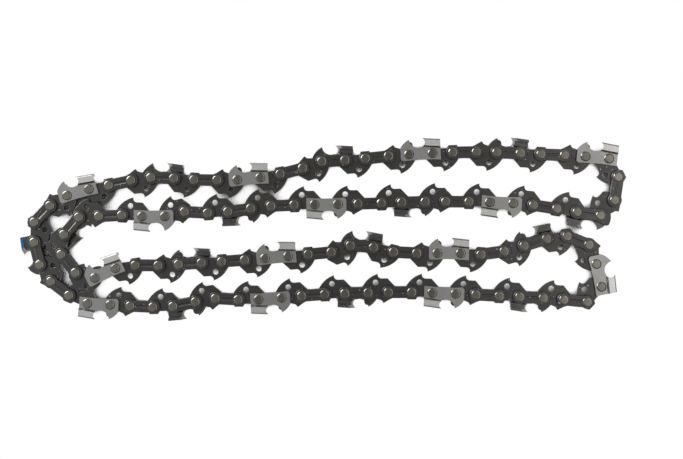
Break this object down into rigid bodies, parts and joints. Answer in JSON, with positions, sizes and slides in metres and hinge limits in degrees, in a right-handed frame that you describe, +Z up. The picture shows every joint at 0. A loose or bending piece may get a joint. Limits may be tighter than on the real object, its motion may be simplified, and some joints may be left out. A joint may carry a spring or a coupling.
{
  "type": "chainsaw chain loop",
  "caption": "Low-profile chainsaw chain in a closed loop, lying on its side in two hairpins: cutters, tie straps and drive links with tangs on rivets, hinged where the hairpins swing.",
  "frame": {"origin": "middle of the loop's length and width, on the surface that it lies on", "axes": "+X along the hairpins towards their free ends, +Y across them towards the upper hairpin, +Z up, along the rivets"},
  "size_m": [0.2658, 0.0806, 0.0077],
  "materials": {
    "link_steel": "dark oiled",
    "cutter_chrome": "matte plated",
    "rivet_bronze": "bronzed",
    "blued_steel": "blued"
  },
  "bodies": {
    "fold": {"fold_bumper_links": "link_steel", "fold_drive_links": "link_steel", "fold_left_cutters": "cutter_chrome", "fold_marked_cutter": "blued_steel", "fold_right_cutters": "cutter_chrome", "fold_rivets": "rivet_bronze", "fold_tie_straps": "link_steel"},
    "upper_outer": {"upper_outer_bumper_links": "link_steel", "upper_outer_drive_links": "link_steel", "upper_outer_left_cutters": "cutter_chrome", "upper_outer_right_cutters": "cutter_chrome", "upper_outer_rivets": "rivet_bronze", "upper_outer_tie_straps": "link_steel"},
    "upper_bend": {"upper_bend_bumper_links": "link_steel", "upper_bend_drive_links": "link_steel", "upper_bend_right_cutters": "cutter_chrome", "upper_bend_rivets": "rivet_bronze", "upper_bend_tie_straps": "link_steel"},
    "upper_inner": {"upper_inner_bumper_links": "link_steel", "upper_inner_drive_links": "link_steel", "upper_inner_left_cutters": "cutter_chrome", "upper_inner_right_cutters": "cutter_chrome", "upper_inner_rivets": "rivet_bronze", "upper_inner_tie_straps": "link_steel"},
    "lower_inner": {"lower_inner_bumper_links": "link_steel", "lower_inner_drive_links": "link_steel", "lower_inner_left_cutters": "cutter_chrome", "lower_inner_right_cutters": "cutter_chrome", "lower_inner_rivets": "rivet_bronze", "lower_inner_tie_straps": "link_steel"},
    "lower_bend": {"lower_bend_drive_links": "link_steel", "lower_bend_left_cutters": "cutter_chrome", "lower_bend_rivets": "rivet_bronze", "lower_bend_tie_straps": "link_steel"},
    "lower_outer": {"lower_outer_bumper_links": "link_steel", "lower_outer_drive_links": "link_steel", "lower_outer_left_cutters": "cutter_chrome", "lower_outer_right_cutters": "cutter_chrome", "lower_outer_rivets": "rivet_bronze", "lower_outer_tie_straps": "link_steel"}
  },
  "joints": [
    {"name": "upper_hairpin_swing", "type": "hinge", "parent": "fold", "child": "upper_outer", "pos_m": [0.03895, 0.03293, 0.00317], "axis": [0, 0, 1], "range_deg": [0, 15]},
    {"name": "upper_bend_pivot", "type": "hinge", "parent": "upper_outer", "child": "upper_bend", "pos_m": [0.1252, 0.03098, 0.00317], "axis": [0, 0, 1], "range_deg": [-15.11, 0]},
    {"name": "upper_inner_pivot", "type": "hinge", "parent": "upper_bend", "child": "upper_inner", "pos_m": [0.10301, 0.00934, 0.00317], "axis": [0, 0, 1], "range_deg": [0, 15.09]},
    {"name": "lower_hairpin_swing", "type": "hinge", "parent": "fold", "child": "lower_outer", "pos_m": [-0.03581, -0.03069, 0.00317], "axis": [0, 0, -1], "range_deg": [0, 15]},
    {"name": "lower_bend_pivot", "type": "hinge", "parent": "lower_outer", "child": "lower_bend", "pos_m": [0.11636, -0.03114, 0.00317], "axis": [0, 0, -1], "range_deg": [-15.97, 0]},
    {"name": "lower_inner_pivot", "type": "hinge", "parent": "lower_bend", "child": "lower_inner", "pos_m": [0.12009, -0.01461, 0.00317], "axis": [0, 0, -1], "range_deg": [0, 15.89]}
  ],
  "couplings": [
    {"joint": "upper_bend_pivot", "follows": "upper_hairpin_swing", "ratio": -0.9938},
    {"joint": "upper_inner_pivot", "follows": "upper_hairpin_swing", "ratio": 0.9928},
    {"joint": "lower_bend_pivot", "follows": "lower_hairpin_swing", "ratio": -1.0516},
    {"joint": "lower_inner_pivot", "follows": "lower_hairpin_swing", "ratio": 1.0461}
  ]
}
